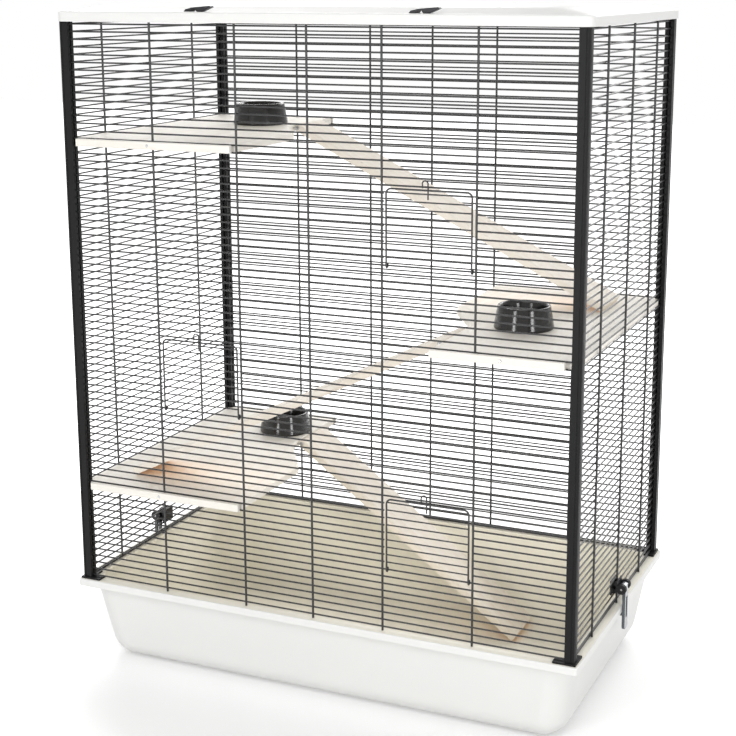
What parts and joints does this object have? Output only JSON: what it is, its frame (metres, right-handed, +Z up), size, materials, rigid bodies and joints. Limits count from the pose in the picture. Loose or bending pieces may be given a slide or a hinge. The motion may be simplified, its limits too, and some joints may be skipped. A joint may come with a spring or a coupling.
{
  "type": "pet_cage",
  "caption": "Tall wire pet cage on a deep tub with corner posts, hinged wire doors, wooden shelves, hinged ramps, bowls, a latched lid and side clips",
  "frame": {"origin": "middle of the tub's underside, on the floor", "axes": "+X to the right along the long side as seen from the door side, -Y towards the doors, +Z up"},
  "size_m": [0.807, 0.472, 0.9968],
  "materials": {
    "tub_white": "smooth satin white moulding",
    "post_black": "satin black coating on fluted posts",
    "wire_black": "black coated wire",
    "board_wood": "pale sealed board",
    "cleat_wood": "pale planed strip",
    "ramp_wood": "pale planed plank",
    "bowl_black": "glossy black",
    "fitting_black": "satin black moulding",
    "lever_grey": "glossy dark grey moulding",
    "steel": "bright zinc-plated steel"
  },
  "bodies": {
    "cage": {"base_tub": "tub_white", "cleat_high_narrow": "cleat_wood", "cleat_high_wide": "cleat_wood", "cleat_low_narrow": "cleat_wood", "cleat_low_wide": "cleat_wood", "cleat_mid_narrow": "cleat_wood", "cleat_mid_wide": "cleat_wood", "cleat_screws_high": "steel", "cleat_screws_low": "steel", "cleat_screws_mid": "steel", "clip_bracket_left": "fitting_black", "clip_bracket_right": "fitting_black", "clip_pin_left": "steel", "clip_pin_right": "steel", "lid": "tub_white", "panel_back": "wire_black", "panel_front": "wire_black", "panel_left": "wire_black", "panel_right": "wire_black", "post_back_left": "post_black", "post_back_right": "post_black", "post_foot_back_left": "post_black", "post_foot_back_right": "post_black", "post_foot_front_left": "post_black", "post_foot_front_right": "post_black", "post_front_left": "post_black", "post_front_right": "post_black", "ramp_eyes_high": "steel", "ramp_eyes_low": "steel", "ramp_eyes_mid": "steel", "ramp_pin_high": "steel", "ramp_pin_low": "steel", "ramp_pin_mid": "steel", "shelf_high": "board_wood", "shelf_low": "board_wood", "shelf_mid": "board_wood"},
    "bowl_high": {"bowl_high": "bowl_black"},
    "bowl_low": {"bowl_low": "bowl_black"},
    "bowl_mid": {"bowl_mid": "bowl_black"},
    "clip_lever_left": {"clip_lever_left": "lever_grey"},
    "clip_lever_right": {"clip_lever_right": "lever_grey"},
    "door_left": {"door_left": "wire_black"},
    "door_lower_right": {"door_lower_right": "wire_black"},
    "door_upper_right": {"door_upper_right": "wire_black"},
    "lid_latch_left": {"lid_latch_left": "fitting_black"},
    "lid_latch_right": {"lid_latch_right": "fitting_black"},
    "ramp_low": {"ramp_low": "ramp_wood"},
    "ramp_mid": {"ramp_mid": "ramp_wood"},
    "ramp_high": {"ramp_high": "ramp_wood"}
  },
  "joints": [
    {"name": "door_upper_right_hinge", "type": "hinge", "parent": "cage", "child": "door_upper_right", "pos_m": [0.176, -0.223, 0.6574], "axis": [1, 0, 0], "range_deg": [0, 150]},
    {"name": "door_lower_right_hinge", "type": "hinge", "parent": "cage", "child": "door_lower_right", "pos_m": [0.176, -0.223, 0.2254], "axis": [1, 0, 0], "range_deg": [0, 150]},
    {"name": "door_left_hinge", "type": "hinge", "parent": "cage", "child": "door_left", "pos_m": [-0.176, -0.223, 0.4198], "axis": [1, 0, 0], "range_deg": [0, 150]},
    {"name": "lid_latch_left_slide", "type": "slide", "parent": "cage", "child": "lid_latch_left", "axis": [0, 1, 0], "range_m": [0, 0.006]},
    {"name": "lid_latch_right_slide", "type": "slide", "parent": "cage", "child": "lid_latch_right", "axis": [0, 1, 0], "range_m": [0, 0.006]},
    {"name": "clip_lever_left_hinge", "type": "hinge", "parent": "cage", "child": "clip_lever_left", "pos_m": [-0.396, 0, 0.161], "axis": [0, 1, 0], "range_deg": [0, 110]},
    {"name": "clip_lever_right_hinge", "type": "hinge", "parent": "cage", "child": "clip_lever_right", "pos_m": [0.396, 0, 0.161], "axis": [0, -1, 0], "range_deg": [0, 110]},
    {"name": "ramp_low_hinge", "type": "hinge", "parent": "cage", "child": "ramp_low", "pos_m": [-0.1722, 0.129, 0.2848], "axis": [0, -1, 0], "range_deg": [0, 34]},
    {"name": "ramp_mid_hinge", "type": "hinge", "parent": "cage", "child": "ramp_mid", "pos_m": [0.1722, -0.129, 0.544], "axis": [0, 1, 0], "range_deg": [0, 14]},
    {"name": "ramp_high_hinge", "type": "hinge", "parent": "cage", "child": "ramp_high", "pos_m": [-0.1722, 0.129, 0.8032], "axis": [0, -1, 0], "range_deg": [0, 14]},
    {"name": "bowl_low_lift", "type": "slide", "parent": "cage", "child": "bowl_low", "axis": [0, 0, 1], "range_m": [0, 0.06]},
    {"name": "bowl_mid_lift", "type": "slide", "parent": "cage", "child": "bowl_mid", "axis": [0, 0, 1], "range_m": [0, 0.06]},
    {"name": "bowl_high_lift", "type": "slide", "parent": "cage", "child": "bowl_high", "axis": [0, 0, 1], "range_m": [0, 0.06]}
  ]
}
